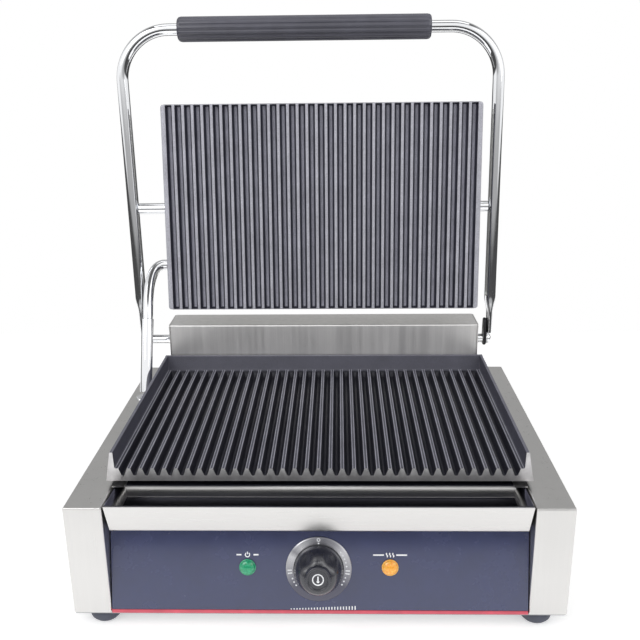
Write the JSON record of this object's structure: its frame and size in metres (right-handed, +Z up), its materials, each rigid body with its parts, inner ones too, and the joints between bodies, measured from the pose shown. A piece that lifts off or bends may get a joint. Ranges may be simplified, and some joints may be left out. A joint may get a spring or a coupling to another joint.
{
  "type": "panini press",
  "caption": "Contact grill with a ribbed lower plate, a ribbed head that floats on a cross rod between swinging chrome arms, a thermostat knob and a drip tray.",
  "frame": {"origin": "middle of the whole object's box, on the surface that its feet stand on", "axes": "+Z up, +Y from the controls towards the hinge, +X to the right of a user who faces the controls"},
  "size_m": [0.4192, 0.3551, 0.4955],
  "materials": {
    "stainless": "brushed",
    "brushed_rear": "brushed, back and inner sheets",
    "chrome": "polished",
    "dark_steel": "blackened steel",
    "cast_iron": "seasoned, satin",
    "panel_gloss": "gloss",
    "trim_red": "gloss",
    "black_plastic": "satin",
    "knob_black": "satin gloss",
    "grip_rubber": "satin",
    "foot_rubber": "matt",
    "green_lens": "gloss, translucent",
    "amber_lens": "gloss, translucent",
    "galvanised": "zinc plated, dull",
    "element": "oxidised sheath",
    "spring_steel": "oiled",
    "nylon": "natural"
  },
  "bodies": {
    "base": {"housing_left": "stainless", "housing_right": "stainless", "bottom_plate": "galvanised", "rear_panel": "brushed_rear", "heat_shield": "galvanised", "bearer_left": "galvanised", "bearer_right": "galvanised", "control_panel": "panel_gloss", "panel_trim": "trim_red", "foot_front_left": "foot_rubber", "foot_front_right": "foot_rubber", "foot_rear_left": "foot_rubber", "foot_rear_right": "foot_rubber", "tray_rail_left": "stainless", "tray_rail_right": "stainless", "lower_plate": "cast_iron", "lower_element": "element", "thermostat": "galvanised", "dial_plate": "stainless", "lamp_power": "green_lens", "lamp_ready": "amber_lens", "terminal_block": "nylon", "cord_gland": "black_plastic", "hinge_box": "stainless", "bush_left": "nylon", "bush_right": "nylon", "spring_left": "spring_steel", "spring_right": "spring_steel", "conduit_riser": "chrome", "riser_nut": "chrome", "conduit_hose": "chrome"},
    "arms": {"handle_frame": "chrome", "grip": "grip_rubber", "hinge_shaft": "chrome", "lug_left": "dark_steel", "lug_right": "dark_steel", "washer_left": "chrome", "washer_right": "chrome", "dome_nut": "chrome", "head_rod": "chrome", "collar_left": "chrome", "collar_right": "chrome"},
    "head": {"upper_plate": "cast_iron", "upper_housing": "brushed_rear", "upper_element": "element", "rod_bush_left": "nylon", "rod_bush_right": "nylon", "conduit_gland": "chrome"},
    "tray": {"drip_tray": "stainless"},
    "dial_knob": {"knob": "knob_black", "knob_spindle": "galvanised"}
  },
  "joints": [
    {"name": "lid_lift", "type": "hinge", "parent": "base", "child": "arms", "pos_m": [0.0046, 0.12467, 0.1565], "axis": [1, 0, 0], "range_deg": [0, 94], "stiffness_Nm_per_rad": 3.5, "deforming": ["conduit_hose"]},
    {"name": "head_tilt", "type": "hinge", "parent": "arms", "child": "head", "pos_m": [0.0046, 0.13983, 0.30071], "axis": [1, 0, 0], "range_deg": [0, 6]},
    {"name": "knob_turn", "type": "hinge", "parent": "base", "child": "dial_knob", "pos_m": [0.0046, -0.15106, 0.05116], "axis": [0, 0.9703, -0.2419], "range_deg": [0, 270]},
    {"name": "drip_tray_slide", "type": "slide", "parent": "base", "child": "tray", "axis": [0, -1, 0], "range_m": [0, 0.065]}
  ]
}
